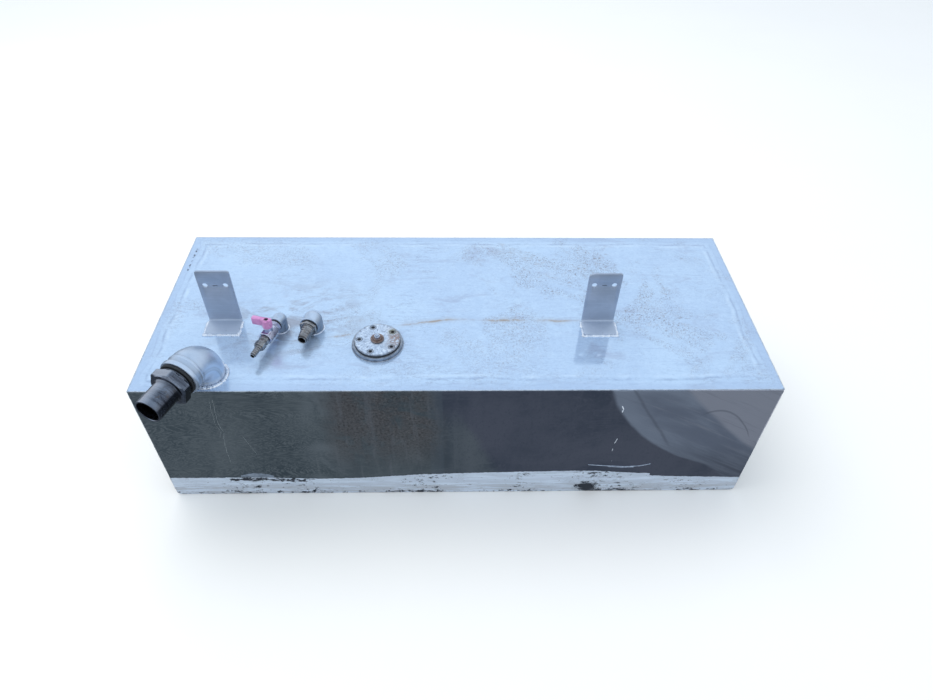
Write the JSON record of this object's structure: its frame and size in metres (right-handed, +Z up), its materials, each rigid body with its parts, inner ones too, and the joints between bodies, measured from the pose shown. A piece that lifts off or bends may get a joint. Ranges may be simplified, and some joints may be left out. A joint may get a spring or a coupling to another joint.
{
  "type": "rectangular metal fuel tank",
  "caption": "Long flat rectangular welded metal tank with a bent filler neck, vent and outlet hose tails, a small valve with a lever, a round level sender and upright angle brackets on its lid.",
  "frame": {"origin": "centre of the tank's flat bottom", "axes": "+X along the tank's long side, from the filler end to the plain end; +Y from the front face to the back face; +Z up, out of the lid"},
  "size_m": [0.93, 0.4497, 0.35],
  "materials": {
    "wrapper": "polished sheet, lightly scratched",
    "face": "mirror-like polished sheet, scratched, pale stain along the bottom edge",
    "lid": "bright satin sheet, hazy and stained",
    "inner": "mill finish",
    "bracket": "cold-rolled plate, dull",
    "elbow": "satin cast finish",
    "dark_tail": "dark oiled finish",
    "bronze": "tarnished",
    "nickel": "dull nickel plating",
    "rubber": "matte",
    "ptfe": "smooth",
    "handle": "pink paint, semi-gloss",
    "flange": "satin, rust-stained",
    "copper": "rusty and tarnished",
    "nylon": "smooth"
  },
  "bodies": {
    "tank": {"shell_wrapper": "wrapper", "front_panel": "face", "back_panel": "face", "top_panel": "lid", "baffle_plate": "inner", "bracket_left": "bracket", "bracket_right": "bracket", "filler_elbow": "elbow", "filler_seal": "rubber", "filler_hose_tail": "dark_tail", "vent_elbow": "elbow", "vent_seal": "rubber", "vent_hose_tail": "bronze", "outlet_elbow": "elbow", "outlet_seal": "rubber", "valve_seat_inner": "ptfe", "valve_seat_outer": "ptfe", "outlet_hose_tail": "bronze", "valve_body": "nickel", "valve_stem_seal": "rubber", "outlet_dip_tube": "inner", "sender_ring": "bracket", "sender_gasket": "rubber", "sender_flange": "flange", "sender_screw_1": "flange", "sender_screw_2": "flange", "sender_screw_3": "flange", "sender_screw_4": "flange", "sender_screw_5": "flange", "terminal_insulator": "nylon", "terminal_washer": "copper", "terminal_collar": "copper", "terminal_nut": "nickel", "terminal_inner_nut": "nickel", "terminal_stud": "nickel", "sender_tube": "inner", "float_stop_lower": "inner", "float_stop_upper": "inner"},
    "valve_core": {"valve_handle": "handle", "handle_screw": "nickel", "valve_stem": "nickel", "valve_ball": "nickel"},
    "float": {"sender_float": "nylon"}
  },
  "joints": [
    {"name": "valve_turn", "type": "hinge", "parent": "tank", "child": "valve_core", "pos_m": [-0.28128, -0.08621, 0.2716], "axis": [0, 0, 1], "range_deg": [0, 90]},
    {"name": "float_rise", "type": "slide", "parent": "tank", "child": "float", "axis": [0, 0, 1], "range_m": [0, 0.178]}
  ]
}
